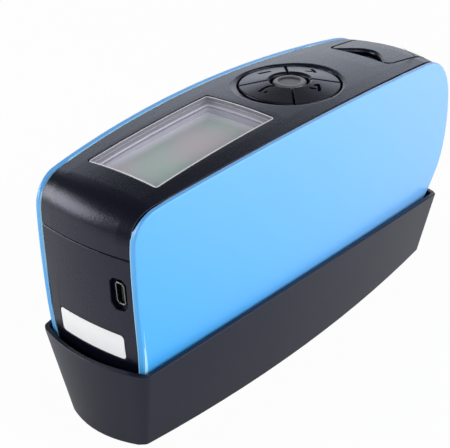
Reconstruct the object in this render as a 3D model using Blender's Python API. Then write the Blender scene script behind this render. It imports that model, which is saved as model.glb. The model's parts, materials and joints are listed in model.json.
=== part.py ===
"""Handheld 60 degree gloss meter standing in its calibration holder.

+X runs from the end with the USB socket to the battery end, +Z is up, and the
holder's feet stand on Z = 0.  Sizes are in metres.  The housing is lens shaped
seen from above: its sides bow out in the middle.  In the lengthwise direction
X = 0 is the holder's middle; the parent empty moves the whole so that the
origin lies under the middle of the whole length.
"""
import math

import bmesh
import bpy
from mathutils import Matrix, Vector

for old in list(bpy.data.objects):
    bpy.data.objects.remove(old, do_unlink=True)

mm = 0.001

# Clearances
fit_gap = 0.3 * mm
key_gap = 0.5 * mm
cover_gap = 0.45 * mm
panel_gap = 0.25 * mm
label_gap = 0.1 * mm
holder_end_clearance = 2.2 * mm
holder_side_clearance = 0.85 * mm

# Cutters: how far they run past the piece, and the offset that keeps faces from coinciding
reach = 120.0 * mm
overrun = 0.5 * mm
stagger = 0.05 * mm

# Meter housing, side view: the outline's sides before its corners are rounded
meter_bottom = 11.3 * mm
body_height = 73.3 * mm
body_length = 162.8 * mm
near_foot_x = -73.6 * mm
near_lean = 0.7 * mm
top_fall = 7.5 * mm
far_face_height = 31.1 * mm
far_foot_inset = 10.2 * mm
near_side_bow = 1.6 * mm
near_flat = 0.24
top_bow = 5.75 * mm
near_top_radius = 11.0 * mm
far_top_radius = 18.0 * mm
far_knee_radius = 45.0 * mm
foot_radius = 6.0 * mm
near_top_x = near_foot_x + near_lean
near_top_z = meter_bottom + body_height
far_x = near_foot_x + body_length
far_top_z = near_top_z - top_fall
far_knee_z = far_top_z - far_face_height
far_foot_x = -near_foot_x - far_foot_inset

# Meter housing, plan and section
body_width = 47.4 * mm
side_bow = 5.25 * mm
bow_margin = 1.4 * mm
tuck_depth = 5.0 * mm
tuck_height = 28.7 * mm
tuck_power = 1.6
top_crown = 1.2 * mm
end_crown = 1.6 * mm
shell_wall = 2.0 * mm
seam_drop = 6.1 * mm
side_rows = (0.0, 0.3, 0.6, 0.72, 0.83, 0.92, 1.0)
bow_reach = body_length / 2.0 - bow_margin
seam_z = far_top_z - seam_drop

# Side panels
panel_thickness = 2.2 * mm
panel_edge_radius = 0.55 * mm
panel_proud = 0.2 * mm

# Display
window_inset = 16.1 * mm
window_length = 54.8 * mm
window_width = 30.2 * mm
window_corner = 1.0 * mm
lens_sink = 0.15 * mm
lens_thickness = 1.55 * mm
frame_land = 2.2 * mm
frame_view_margin = 1.8 * mm
frame_thickness = 0.8 * mm
display_thickness = 2.8 * mm
display_head_room = 0.9 * mm
board_thickness = 1.6 * mm
board_corner = 2.0 * mm
board_near_margin = 10.2 * mm
board_far_margin = 7.6 * mm
board_side_margin = 1.9 * mm
post_radius = 2.5 * mm
post_inset = 3.5 * mm
window_x0 = near_top_x + window_inset
window_x1 = window_x0 + window_length

# Keypad
pad_pitch = 25.0 * mm
pad_radius = 17.9 * mm
pad_bevel_width = 1.3 * mm
pad_bevel_depth = 0.5 * mm
pad_bevel_tilt = math.radians(1.1)
pad_depth = 6.0 * mm
pad_rise = 0.8 * mm
pad_dome = 1.6 * mm
key_slit = 0.6 * mm
key_flange = 0.9 * mm
key_flange_depth = 3.1 * mm
key_flange_height = 0.7 * mm
key_sink = 0.6 * mm
key_edge = 0.3 * mm
key_travel = 0.5 * mm
key_steps = 8
button_radius = 5.8 * mm
button_moat = 0.9 * mm
moat_bevel_width = 1.3 * mm
moat_bevel_depth = 0.9 * mm
button_rim_width = 1.8 * mm
button_edge = 0.5 * mm
button_dish = 0.5 * mm
button_drop = 0.65 * mm
mat_clearance = 0.2 * mm
mat_margin = 1.2 * mm
pad_x = window_x1 + pad_pitch
key_inner_radius = button_radius + button_moat

# Battery bay and cover
cover_length = 27.9 * mm
cover_height = 23.1 * mm
cover_front_width = 26.0 * mm
cover_side_margin = 2.85 * mm
cover_corner = 2.4 * mm
cover_thickness = 1.6 * mm
notch_depth = 6.9 * mm
notch_width = 21.0 * mm
notch_fullness = 1.1
notch_lip = 0.7 * mm
notch_steps = 12
ledge_reach = 5.3 * mm
ledge_depth = 4.6 * mm
ledge_below_cover = 4.0 * mm
scoop_depth = 1.9 * mm
scoop_rise = 3.0 * mm
scoop_shift = 0.8 * mm
scoop_end_margin = 0.6 * mm
scoop_side_margin = 2.0 * mm
bay_mouth_inset = 16.7 * mm
bay_mouth_margin = 0.8 * mm
bay_mouth_corner = 1.5 * mm
bay_wall = 1.5 * mm
bay_side_height = 4.0 * mm
bay_hollow_overrun = 5.0 * mm
shelf_overlap = 0.1 * mm
cell_radius = 9.2 * mm
cell_length = 65.0 * mm
cell_tip = 1.2 * mm
cell_tip_radius = 3.0 * mm
cell_edge = 0.5 * mm
cell_head_room = 1.3 * mm
cell_corner_share = 0.4
spring_length = 6.0 * mm
spring_radius = 4.0 * mm
spring_taper = 0.35
spring_wire_radius = 0.5 * mm
spring_turns = 3
contact_half_width = 4.0 * mm
contact_drop = 7.0 * mm
contact_thickness = 0.4 * mm
cover_x = far_x - cover_length
cover_bottom_z = far_top_z - cover_height
ledge_x = cover_x - ledge_reach
bay_mouth_x = far_x - bay_mouth_inset
cell_end_x = far_x - cell_corner_share * far_top_radius
cell_axis_z = far_top_z - cell_radius - cell_head_room

# USB socket at the near end
usb_y = -14.0 * mm
usb_drop = 12.7 * mm
usb_recess_height = 11.0 * mm
usb_recess_width = 6.4 * mm
usb_recess_depth = 0.9 * mm
usb_recess_corner = 1.6 * mm
usb_height = 7.7 * mm
usb_width = 3.9 * mm
usb_length = 9.0 * mm
usb_corner = 0.8 * mm
usb_wall = 0.4 * mm
usb_back = 1.5 * mm
usb_sink = 0.7 * mm
usb_tongue = 0.9 * mm
usb_tongue_sink = 1.0 * mm
usb_hole_depth = 4.0 * mm
usb_board_height = 16.0 * mm
usb_board_length = 14.0 * mm
usb_board_thickness = 1.2 * mm
usb_board_gap = 1.2 * mm
lug_length = 5.0 * mm
lug_width = 3.0 * mm
lug_height = 2.0 * mm
usb_z = seam_z - usb_drop

# Label plate at the near end
label_y = -0.1 * mm
label_width = 28.2 * mm
label_height = 8.6 * mm
label_lift = 23.5 * mm
label_thickness = 0.15 * mm
label_recess = 0.2 * mm
label_corner = 1.2 * mm
label_z0 = meter_bottom + label_lift

# Optics
light_angle = math.radians(60.0)
tube_radius = 4.5 * mm
tube_start = 6.0 * mm
tube_end = 60.0 * mm
block_width = 20.0 * mm
block_height = 27.0 * mm
block_half_length = 42.0 * mm
block_valley = 0.55
block_taper = 8.0 * mm
aperture_length = 20.0 * mm
aperture_width = 11.0 * mm
aperture_corner = 5.0 * mm
aperture_depth = 4.0 * mm
optic_lens_distance = 24.0 * mm
optic_lens_thickness = 2.0 * mm
lamp_distance = 35.0 * mm
lamp_length = 8.0 * mm
sensor_length = 4.0 * mm
screw_radius = 1.25 * mm
screw_head_radius = 2.4 * mm
screw_head_height = 1.2 * mm
screw_socket_radius = 0.8 * mm
screw_socket_depth = 0.7 * mm
screw_length = 7.0 * mm
screw_sink = 0.35 * mm
screw_x = 32.0 * mm
screw_y = 7.0 * mm
optic_radius = tube_radius - fit_gap

# Holder
holder_end_bow = 4.2 * mm
holder_wall = 1.5 * mm
holder_floor = 2.2 * mm
rim_near_z = 32.4 * mm
rim_far_z = 27.5 * mm
rim_arch = 4.3 * mm
extra_draft = 2.0 * mm
end_draft = 2.0 * mm
base_lift = 0.6 * mm
base_rocker = 1.5 * mm
holder_corner = 2.0 * mm
holder_inner_corner = 0.4 * mm
rib_thickness = 2.4 * mm
rib_inset = 15.5 * mm
foot_pad_radius = 5.0 * mm
foot_pad_height = 1.6 * mm
foot_pad_edge = 0.4 * mm
foot_inset = 34.75 * mm
foot_side_inset = 17.5 * mm
tile_length = 56.0 * mm
tile_width = 24.0 * mm
tile_thickness = 6.5 * mm
tile_corner = 0.8 * mm
tile_frame_height = 0.8 * mm
tile_frame_corner = 1.5 * mm
pedestal_margin = 4.0 * mm
side_draft = tuck_depth + extra_draft
slant_at_rim = (far_foot_x + (far_x - far_foot_x) * (rim_far_z - meter_bottom)
                / (far_knee_z - meter_bottom))
meter_reach = max(near_side_bow - near_foot_x, slant_at_rim) + end_crown
holder_length = 2.0 * (meter_reach + holder_end_clearance + holder_wall)
holder_width = body_width + 2.0 * (panel_gap + panel_thickness + holder_side_clearance + holder_wall)
foot_x = holder_length / 2.0 - foot_inset
foot_y = holder_width / 2.0 - foot_side_inset


class Side:
    """One side of an outline: a shallow arc from a to b, bowed to its left."""

    def __init__(self, a, b, bow=0.0):
        self.a = Vector(a)
        self.run = Vector(b) - self.a
        self.out = Vector((-self.run.y, self.run.x)).normalized()
        self.bow = bow

    def point(self, t):
        return self.a + self.run * t + self.out * (4.0 * self.bow * t * (1.0 - t))

    def tangent(self, t):
        return (self.run + self.out * (4.0 * self.bow * (1.0 - 2.0 * t))).normalized()

    def points(self, t0, t1, steps):
        return [self.point(t0 + (t1 - t0) * i / steps) for i in range(steps)]


def corner_trim(first, second, radius):
    """How far a corner's rounding reaches along each side."""
    turn = first.tangent(1.0).angle(second.tangent(0.0))
    return radius * math.tan(turn / 2.0)


def corner_points(first, second, radius, steps):
    """The rounded corner between two sides, without its last point."""
    reach = corner_trim(first, second, radius)
    t0 = 1.0 - reach / first.run.length
    t1 = reach / second.run.length
    start, end = first.point(t0), second.point(t1)
    leave, arrive = first.tangent(t0), second.tangent(t1)
    handle = radius * 4.0 / 3.0 * math.tan(leave.angle(arrive) / 4.0)
    knots = (start, start + leave * handle, end - arrive * handle, end)
    points = []
    for i in range(steps):
        t = i / steps
        s = 1.0 - t
        weights = (s ** 3, 3 * s * s * t, 3 * s * t * t, t ** 3)
        points.append(sum((k * w for k, w in zip(knots, weights)), Vector((0.0, 0.0))))
    return points


def meter_outline():
    """The housing's side outline: over the top to the far end, and back underneath.

    Both lists have the same number of points, so a point above has its partner below.
    """
    foot = Vector((near_foot_x, meter_bottom))
    shoulder = Vector((near_top_x, near_top_z))
    crest = Vector((far_x, far_top_z))
    knee = Vector((far_x, far_knee_z))
    heel = Vector((far_foot_x, meter_bottom))
    near = Side(foot, shoulder, near_side_bow)
    top = Side(shoulder, crest, top_bow)
    far = Side(crest, knee)
    slant = Side(knee, heel)
    bottom = Side(heel, foot)

    def start(before, side, radius):
        return corner_trim(before, side, radius) / side.run.length

    def stop(side, after, radius):
        return 1.0 - corner_trim(side, after, radius) / side.run.length

    upper = near.points(0.5 + near_flat / 2.0, stop(near, top, near_top_radius), 2)
    upper += corner_points(near, top, near_top_radius, 6)
    upper += top.points(start(near, top, near_top_radius), stop(top, far, far_top_radius), 13)
    upper += corner_points(top, far, far_top_radius, 7)
    upper.append(far.point(start(top, far, far_top_radius)))
    lower = corner_points(far, slant, far_knee_radius, 6)
    lower += slant.points(start(far, slant, far_knee_radius), stop(slant, bottom, foot_radius), 2)
    lower += corner_points(slant, bottom, foot_radius, 3)
    lower += bottom.points(start(slant, bottom, foot_radius), stop(bottom, near, foot_radius), 10)
    lower += corner_points(bottom, near, foot_radius, 4)
    lower += near.points(start(bottom, near, foot_radius), 0.5 - near_flat / 2.0, 3)
    lower.append(near.point(0.5 - near_flat / 2.0))
    return upper, lower


def outline_normals(loop):
    """Outward unit normal at each point of a clockwise closed outline."""
    normals = []
    for i in range(len(loop)):
        along = loop[(i + 1) % len(loop)] - loop[i - 1]
        normals.append(Vector((-along.y, along.x)).normalized())
    return normals


def inset_outline(inset):
    """The outline moved inwards, as one closed loop and its normals."""
    upper, lower = meter_outline()
    loop = upper + lower
    normals = outline_normals(loop)
    return [p - n * inset for p, n in zip(loop, normals)], normals


def half_width(x, z):
    """Half the width of the housing between the panels."""
    below = max(0.0, (meter_bottom + tuck_height - z) / tuck_height)
    return body_width / 2.0 - side_bow * (x / bow_reach) ** 2 - tuck_depth * below ** tuck_power


def crown_at(normal):
    """How far the band between the panels is crowned, by the way it faces."""
    return top_crown * max(0.0, normal.y) + end_crown * abs(normal.x)


def top_surface(x):
    """Height of the housing's top at its middle line."""
    shoulder = Vector((near_top_x, near_top_z))
    crest = Vector((far_x, far_top_z))
    top = Side(shoulder, crest, top_bow)
    t = (x - near_top_x) / (far_x - near_top_x)
    for _ in range(4):
        t += (x - top.point(t).x) / (far_x - near_top_x)
    return top.point(t).y + top_crown


def top_height(x, y):
    """Height of the crowned top at any place."""
    return top_surface(x) - top_crown * (y / half_width(x, seam_z)) ** 2


def top_slope(x):
    step = 1.0 * mm
    return math.atan2(top_surface(x + step) - top_surface(x - step), 2.0 * step)


def add_side_skin(bm, loop, place):
    """Skin one side of the housing; place(x, z) gives y.  Returns the edge loop."""
    half = len(loop) // 2
    edge = [bm.verts.new((p.x, place(p.x, p.y), p.y)) for p in loop]
    columns = []
    for i in range(half):
        top, bottom = edge[i], edge[-1 - i]
        if i in (0, half - 1):
            inner = [top if f < 0.5 else bottom for f in side_rows[1:-1]]
        else:
            inner = []
            for f in side_rows[1:-1]:
                p = loop[i].lerp(loop[-1 - i], f)
                inner.append(bm.verts.new((p.x, place(p.x, p.y), p.y)))
        columns.append([top] + inner + [bottom])
    for left, right in zip(columns, columns[1:]):
        for j in range(len(side_rows) - 1):
            quad = (left[j], right[j], right[j + 1], left[j + 1])
            corners = list(dict.fromkeys(quad))
            if len(corners) > 2:
                bm.faces.new(corners)
    return edge


def bridge(bm, first, second):
    """Join two loops with the same number of points."""
    count = len(first)
    for i in range(count):
        j = (i + 1) % count
        bm.faces.new((first[i], first[j], second[j], second[i]))


def housing_mesh(inset, side_inset, columns=8):
    """The closed body between the panels, moved inwards by the insets."""
    loop, normals = inset_outline(inset)
    bm = bmesh.new()

    def right(x, z):
        return side_inset - half_width(x, z)

    def left(x, z):
        return half_width(x, z) - side_inset

    rings = [add_side_skin(bm, loop, right)]
    for k in range(1, columns):
        v = 2.0 * k / columns - 1.0
        ring = []
        for p, n in zip(loop, normals):
            q = p + n * (crown_at(n) * (1.0 - v * v))
            ring.append(bm.verts.new((q.x, v * left(p.x, p.y), q.y)))
        rings.append(ring)
    rings.append(add_side_skin(bm, loop, left))
    for first, second in zip(rings, rings[1:]):
        bridge(bm, first, second)
    bmesh.ops.recalc_face_normals(bm, faces=bm.faces)
    return bm


def panel_mesh(side):
    """One bowed side panel with a rounded outer edge; side is -1 or +1."""
    bm = bmesh.new()
    inner = panel_gap
    outer = panel_gap + panel_thickness

    def surface(offset):
        return lambda x, z: side * (half_width(x, z) + offset)

    back_loop, _ = inset_outline(-panel_proud)
    rings = [add_side_skin(bm, back_loop, surface(inner))]
    steps = 3
    for k in range(steps):
        a = math.pi / 2.0 * k / steps
        loop, _ = inset_outline(panel_edge_radius * (1.0 - math.cos(a)) - panel_proud)
        y = surface(outer - panel_edge_radius * (1.0 - math.sin(a)))
        rings.append([bm.verts.new((p.x, y(p.x, p.y), p.y)) for p in loop])
    face_loop, _ = inset_outline(panel_edge_radius - panel_proud)
    rings.append(add_side_skin(bm, face_loop, surface(outer)))
    for first, second in zip(rings, rings[1:]):
        bridge(bm, first, second)
    bmesh.ops.recalc_face_normals(bm, faces=bm.faces)
    return bm


# The parent of every piece: it puts the origin under the middle of the whole length
middle_shift = (holder_length / 2.0 - far_x - end_crown) / 2.0
whole = bpy.data.objects.new("gloss_meter", None)
whole.location = (middle_shift, 0.0, 0.0)
bpy.context.scene.collection.objects.link(whole)


def finish(name, color, roughness, metallic=0.0, alpha=1.0):
    """A plain surface finish."""
    mat = bpy.data.materials.new(name)
    mat.use_nodes = True
    shader = mat.node_tree.nodes["Principled BSDF"]
    shader.inputs["Base Color"].default_value = (*color, 1.0)
    shader.inputs["Roughness"].default_value = roughness
    shader.inputs["Metallic"].default_value = metallic
    shader.inputs["Alpha"].default_value = alpha
    return mat


black_plastic = finish("black_plastic", (0.035, 0.036, 0.042), 0.45)
key_plastic = finish("key_plastic", (0.045, 0.046, 0.052), 0.4)
grey_plastic = finish("grey_plastic", (0.22, 0.22, 0.24), 0.4)
blue_plastic = finish("blue_plastic", (0.17, 0.50, 0.93), 0.3)
clear_plastic = finish("clear_plastic", (0.80, 0.83, 0.86), 0.05, 0.0, 0.3)
display_glass = finish("display_glass", (0.40, 0.44, 0.40), 0.2)
silver_plastic = finish("silver_plastic", (0.55, 0.56, 0.60), 0.35)
circuit_board = finish("circuit_board", (0.03, 0.20, 0.08), 0.5)
silicone = finish("silicone", (0.30, 0.30, 0.32), 0.7)
rubber = finish("rubber", (0.02, 0.02, 0.02), 0.85)
steel = finish("steel", (0.60, 0.60, 0.62), 0.3, 1.0)
tile_glass = finish("tile_glass", (0.01, 0.01, 0.012), 0.03)
optical_glass = finish("optical_glass", (0.85, 0.88, 0.90), 0.02, 0.0, 0.35)
cell_wrap = finish("cell_wrap", (0.10, 0.22, 0.40), 0.4)
label_film = finish("label_film", (0.85, 0.85, 0.84), 0.5)


def make(name, bm, mat, origin=(0.0, 0.0, 0.0), tilt=0.0):
    """Turn a mesh into a named object whose origin is put at its joint or middle."""
    place = Matrix.Translation(origin) @ Matrix.Rotation(tilt, 4, "Y")
    bmesh.ops.transform(bm, matrix=place.inverted(), verts=bm.verts)
    mesh = bpy.data.meshes.new(name)
    bm.to_mesh(mesh)
    bm.free()
    mesh.materials.append(mat)
    mesh.shade_smooth()
    mesh.set_sharp_from_angle(angle=math.radians(35.0))
    obj = bpy.data.objects.new(name, mesh)
    bpy.context.scene.collection.objects.link(obj)
    obj.parent = whole
    obj.location = origin
    obj.rotation_euler = (0.0, tilt, 0.0)
    return obj


def tool(name, bm):
    """A cutter that shapes other pieces and is no piece itself."""
    obj = make("cutter_" + name, bm, black_plastic)
    obj.hide_render = True
    obj.display_type = "WIRE"
    return obj


def apply_tool(obj, cutter, operation="DIFFERENCE"):
    boolean = obj.modifiers.new(operation.lower() + "_" + cutter.name, "BOOLEAN")
    boolean.operation = operation
    boolean.solver = "EXACT"
    boolean.object = cutter


def box(x0, x1, y0, y1, z0, z1):
    bm = bmesh.new()
    bmesh.ops.create_cube(bm, size=1.0)
    size = Vector((x1 - x0, y1 - y0, z1 - z0))
    middle = Vector((x0 + x1, y0 + y1, z0 + z1)) / 2.0
    bmesh.ops.scale(bm, vec=size, verts=bm.verts)
    bmesh.ops.translate(bm, vec=middle, verts=bm.verts)
    return bm


def rounded_box(x0, x1, y0, y1, z0, z1, radius, axis="Z", segments=3):
    """A box whose four edges along one axis are rounded."""
    bm = box(x0, x1, y0, y1, z0, z1)
    index = "XYZ".index(axis)
    edges = []
    for edge in bm.edges:
        run = edge.verts[1].co - edge.verts[0].co
        if abs(run[index]) > 0.99 * run.length:
            edges.append(edge)
    bmesh.ops.bevel(bm, geom=edges, offset=radius, segments=segments, profile=0.5,
                    affect="EDGES", material=-1)
    return bm


def rod(start, end, radius, end_radius=None, segments=24):
    """A round bar, or a cone frustum, between two points."""
    start, end = Vector(start), Vector(end)
    run = end - start
    bm = bmesh.new()
    tip = radius if end_radius is None else end_radius
    bmesh.ops.create_cone(bm, cap_ends=True, segments=segments, radius1=radius,
                          radius2=tip, depth=run.length)
    turn = Vector((0.0, 0.0, 1.0)).rotation_difference(run.normalized()).to_matrix().to_4x4()
    place = Matrix.Translation((start + end) / 2.0) @ turn
    bmesh.ops.transform(bm, matrix=place, verts=bm.verts)
    return bm


def turned(profile, segments=32):
    """A solid turned about Z from (radius, height) points that start and end on the axis."""
    bm = bmesh.new()
    verts = [bm.verts.new((r, 0.0, z)) for r, z in profile]
    edges = [bm.edges.new(pair) for pair in zip(verts, verts[1:])]
    bmesh.ops.spin(bm, geom=verts + edges, cent=(0.0, 0.0, 0.0), axis=(0.0, 0.0, 1.0),
                   angle=math.tau, steps=segments, use_merge=True)
    bmesh.ops.remove_doubles(bm, verts=bm.verts, dist=1e-6)
    bmesh.ops.recalc_face_normals(bm, faces=bm.faces)
    return bm


def fill_across(bm, ring, start, lone):
    """Close a ring with a strip of faces between the points either side of its start.

    lone is True where the start point lies alone at the tip, with no partner.
    """
    count = len(ring)
    back = start if lone else start - 1
    for k in range(count // 2):
        quad = (ring[(start + k) % count], ring[(start + k + 1) % count],
                ring[(back - k - 1) % count], ring[(back - k) % count])
        corners = list(dict.fromkeys(quad))
        if len(corners) > 2:
            bm.faces.new(corners)


def loft(rings, strips=False):
    """A solid through closed rings of points; its ends are flat, or strips across the ring."""
    bm = bmesh.new()
    loops = [[bm.verts.new(p) for p in ring] for ring in rings]
    for first, second in zip(loops, loops[1:]):
        bridge(bm, first, second)
    for end in (loops[0], loops[-1]):
        if strips:
            fill_across(bm, end, 0, False)
        else:
            bm.faces.new(end)
    bmesh.ops.recalc_face_normals(bm, faces=bm.faces)
    return bm


# Housing: two shells that meet at the seam, both cut from one crowned body
cavity = tool("cavity", housing_mesh(shell_wall, shell_wall, 4))
thick_zone = tool("thick_zone", box(ledge_x, reach, -reach, reach,
                                    cover_bottom_z - ledge_below_cover, reach))
deep_cavity = tool("deep_cavity", housing_mesh(ledge_depth, shell_wall + stagger, 4))
apply_tool(cavity, thick_zone)
apply_tool(cavity, deep_cavity, "UNION")
above_seam = tool("above_seam", box(-reach, reach, -reach, reach, seam_z - fit_gap / 2.0, reach))
below_seam = tool("below_seam", box(-reach, reach, -reach, reach, -reach, seam_z + fit_gap / 2.0))

upper_shell = make("upper_shell", housing_mesh(0.0, 0.0), black_plastic)
apply_tool(upper_shell, cavity)
apply_tool(upper_shell, below_seam)
lower_shell = make("lower_shell", housing_mesh(0.0, 0.0), black_plastic)
apply_tool(lower_shell, cavity)
apply_tool(lower_shell, above_seam)

# Side panels: moulded covers that clip over the sides of the shells
make("right_panel", panel_mesh(-1), blue_plastic)
make("left_panel", panel_mesh(1), blue_plastic)


# Display: a clear window flush in the shell, its frame, the display and the board
def window_prism(name, margin):
    half = window_width / 2.0 + margin
    return tool(name, rounded_box(window_x0 - margin, window_x1 + margin, -half, half,
                                  seam_z + overrun, reach, window_corner))


apply_tool(upper_shell, window_prism("window_hole", 0.0))
lens_bottom = lens_sink + lens_thickness
lcd_window = make("lcd_window", housing_mesh(lens_sink, shell_wall), clear_plastic)
apply_tool(lcd_window, window_prism("window_edge", -fit_gap), "INTERSECT")
apply_tool(lcd_window, tool("window_back", housing_mesh(lens_bottom, overrun)))

frame_top = shell_wall + fit_gap
lcd_frame = make("lcd_frame", housing_mesh(frame_top, shell_wall), silver_plastic)
apply_tool(lcd_frame, window_prism("frame_edge", frame_land), "INTERSECT")
apply_tool(lcd_frame, tool("frame_back", housing_mesh(frame_top + frame_thickness, overrun)))
apply_tool(lcd_frame, window_prism("frame_hole", -frame_view_margin))

frame_bottom = top_surface(window_x0) - frame_top - frame_thickness
board_top_z = frame_bottom - display_head_room - display_thickness - fit_gap
display_z0 = board_top_z + fit_gap
make("lcd_module", box(window_x0, window_x1, -window_width / 2.0, window_width / 2.0,
                       display_z0, display_z0 + display_thickness), display_glass)

board_x0 = window_x0 - board_near_margin
board_x1 = pad_x + pad_radius + board_far_margin
board_y = window_width / 2.0 + board_side_margin
make("main_board", rounded_box(board_x0, board_x1, -board_y, board_y,
                               board_top_z - board_thickness, board_top_z, board_corner),
     circuit_board)
for i, x in enumerate((board_x0 + post_inset, board_x1 - post_inset)):
    for j, side in enumerate((-1.0, 1.0)):
        foot = Vector((x, side * (board_y - post_inset), board_top_z + fit_gap))
        head = Vector((foot.x, foot.y, top_surface(x) - top_crown - shell_wall / 2.0))
        apply_tool(upper_shell, tool(f"post_{i}_{j}", rod(foot, head, post_radius, segments=12)), "UNION")

# Keypad: four petal keys round one button, in a chamfered round opening
pad_origin = Vector((pad_x, 0.0, top_surface(pad_x)))
pad_tilt = -top_slope(pad_x)
pad_place = Matrix.Translation(pad_origin) @ Matrix.Rotation(pad_tilt, 4, "Y")


def pad_drop(x, y):
    """How far the crowned top lies below the keypad's plane, at a place in that plane."""
    world = pad_place @ Vector((x, y, 0.0))
    return world.z - top_height(world.x, y)


def on_pad(bm):
    bmesh.ops.transform(bm, matrix=pad_place, verts=bm.verts)
    return bm


pad_hole = turned([
    (0.0, -pad_depth),
    (pad_radius, -pad_depth),
    (pad_radius, pad_rise),
    (0.0, pad_rise),
], 48)
apply_tool(upper_shell, tool("pad_hole", on_pad(pad_hole)))

pad_bevel_slope = pad_bevel_depth / pad_bevel_width
pad_bevel_mid = -top_crown / 2.0 - pad_bevel_depth
pad_bevel = turned([
    (0.0, pad_bevel_mid - overrun * pad_bevel_slope),
    (pad_radius - overrun, pad_bevel_mid - overrun * pad_bevel_slope),
    (pad_radius + (pad_bevel_depth + pad_rise) / pad_bevel_slope, pad_bevel_mid + pad_bevel_depth + pad_rise),
    (0.0, pad_bevel_mid + pad_bevel_depth + pad_rise),
], 48)
bmesh.ops.transform(pad_bevel, matrix=Matrix.Rotation(-pad_bevel_tilt, 4, "Y"), verts=pad_bevel.verts)
apply_tool(upper_shell, tool("pad_bevel", on_pad(pad_bevel)))


def petal_ring(inner, outer, slit, height):
    """Outline of one petal round +X, its straight sides parallel to the slits."""
    def arc(radius, way):
        spread = math.pi / 4.0 - math.asin(slit / 2.0 / radius)
        turns = [way * spread * (1.0 - 2.0 * i / key_steps) for i in range(key_steps + 1)]
        return [Vector((radius * math.cos(a), radius * math.sin(a), height)) for a in turns]
    return arc(outer, 1.0) + arc(inner, -1.0)


def key_top(x, y):
    """Height of the domed key tops in the keypad's plane."""
    inwards = 1.0 - (math.hypot(x, y) - key_inner_radius) / (pad_radius - key_inner_radius)
    return -pad_drop(x, y) - key_sink + pad_dome * inwards


def petal_mesh(angle):
    outer = pad_radius - key_gap
    inner = key_inner_radius
    bottom = -key_flange_depth - key_flange_height
    turn = Matrix.Rotation(angle, 4, "Z")
    rings = [petal_ring(inner, outer + key_flange, key_slit, bottom),
             petal_ring(inner, outer + key_flange, key_slit, -key_flange_depth),
             petal_ring(inner, outer, key_slit, -key_flange_depth)]
    rings = [[turn @ p for p in ring] for ring in rings]
    shoulder = [turn @ p for p in petal_ring(inner, outer, key_slit, 0.0)]
    crest = [turn @ p for p in petal_ring(inner + key_edge, outer - key_edge,
                                          key_slit + 2.0 * key_edge, 0.0)]
    rings.append([Vector((p.x, p.y, key_top(p.x, p.y) - key_edge)) for p in shoulder])
    rings.append([Vector((p.x, p.y, key_top(p.x, p.y))) for p in crest])
    return on_pad(loft(rings, strips=True))


moat_slope = moat_bevel_depth / moat_bevel_width
key_crest = pad_dome - key_sink
moat_foot = key_crest - moat_bevel_depth - overrun * moat_slope
moat_head = key_crest + overrun * moat_slope
moat_bevel = tool("moat_bevel", on_pad(turned([
    (0.0, moat_foot),
    (key_inner_radius - overrun, moat_foot),
    (key_inner_radius + moat_bevel_width + overrun, moat_head),
    (0.0, moat_head),
], 36)))
keys = {"key_rear": 0.0, "key_left": math.pi / 2.0, "key_front": math.pi, "key_right": -math.pi / 2.0}
for key_name, key_angle in keys.items():
    key = make(key_name, petal_mesh(key_angle), key_plastic, pad_origin, pad_tilt)
    apply_tool(key, moat_bevel)

key_floor = -key_flange_depth - key_flange_height
button_top = key_crest - button_drop
button_flange_radius = key_inner_radius - key_gap
button_profile = [
    (0.0, key_floor),
    (button_flange_radius, key_floor),
    (button_flange_radius, -key_flange_depth),
    (button_radius, -key_flange_depth),
    (button_radius, button_top - button_edge),
    (button_radius - button_edge, button_top),
    (button_radius - button_rim_width, button_top),
    (button_radius - button_rim_width - button_dish, button_top - button_dish),
    (0.0, button_top - button_dish),
]
make("centre_button", on_pad(turned(button_profile, 32)), grey_plastic,
     pad_origin, pad_tilt)

mat_half = pad_radius + mat_margin
mat_top = key_floor - key_travel - mat_clearance
key_mat = make("key_mat", box(pad_x - mat_half, pad_x + mat_half, -board_y, board_y,
                              board_top_z + fit_gap, reach), silicone)
apply_tool(key_mat, tool("mat_trim", on_pad(box(-reach, reach, -reach, reach, mat_top, reach))))

# Battery bay: a cover over the far top corner, a tray, the cell and its contacts
def cover_prism(name, margin, bottom):
    """The cover's outline seen from above, as an upright prism."""
    front = cover_front_width / 2.0 + margin
    rear = half_width(far_x, seam_z) - cover_side_margin + margin
    x0 = cover_x - margin
    rear_at_reach = front + (rear - front) * (reach - x0) / (far_x - x0)
    plan = [(x0, -front), (reach, -rear_at_reach), (reach, rear_at_reach), (x0, front)]
    bm = bmesh.new()
    verts = [bm.verts.new((x, y, bottom - margin)) for x, y in plan]
    face = bm.faces.new(verts)
    lifted = bmesh.ops.extrude_face_region(bm, geom=[face])["geom"]
    upper = [v for v in lifted if isinstance(v, bmesh.types.BMVert)]
    bmesh.ops.translate(bm, vec=(0.0, 0.0, reach), verts=upper)
    upright = [e for e in bm.edges if abs(e.verts[0].co.z - e.verts[1].co.z) > reach / 2.0
               and e.verts[0].co.x < cover_x + cover_corner]
    bmesh.ops.bevel(bm, geom=upright, offset=cover_corner, segments=4, profile=0.5,
                    affect="EDGES", material=-1)
    bmesh.ops.recalc_face_normals(bm, faces=bm.faces)
    return tool(name, bm)


cover_origin = Vector((cover_x, 0.0, top_surface(cover_x)))
battery_cover = make("battery_cover", housing_mesh(0.0, 0.0), black_plastic, cover_origin)
apply_tool(battery_cover, cover_prism("cover_edge", 0.0, cover_bottom_z), "INTERSECT")
apply_tool(battery_cover, tool("cover_back", housing_mesh(cover_thickness, 0.0)))


def notch_ring(spread, rise):
    """A bell across the cover's front edge, widened by a spread, this far above the top."""
    half = notch_width / 2.0 + spread
    bell = []
    for i in range(notch_steps + 1):
        y = half * (2.0 * i / notch_steps - 1.0)
        depth = (notch_depth + spread) * max(0.0, math.cos(math.pi / 2.0 * y / half)) ** notch_fullness
        bell.append((cover_x + depth, y))
    front = [(cover_x - overrun, y) for x, y in reversed(bell)]
    return [Vector((x, y, top_height(x, y) + rise)) for x, y in bell + front]


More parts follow.
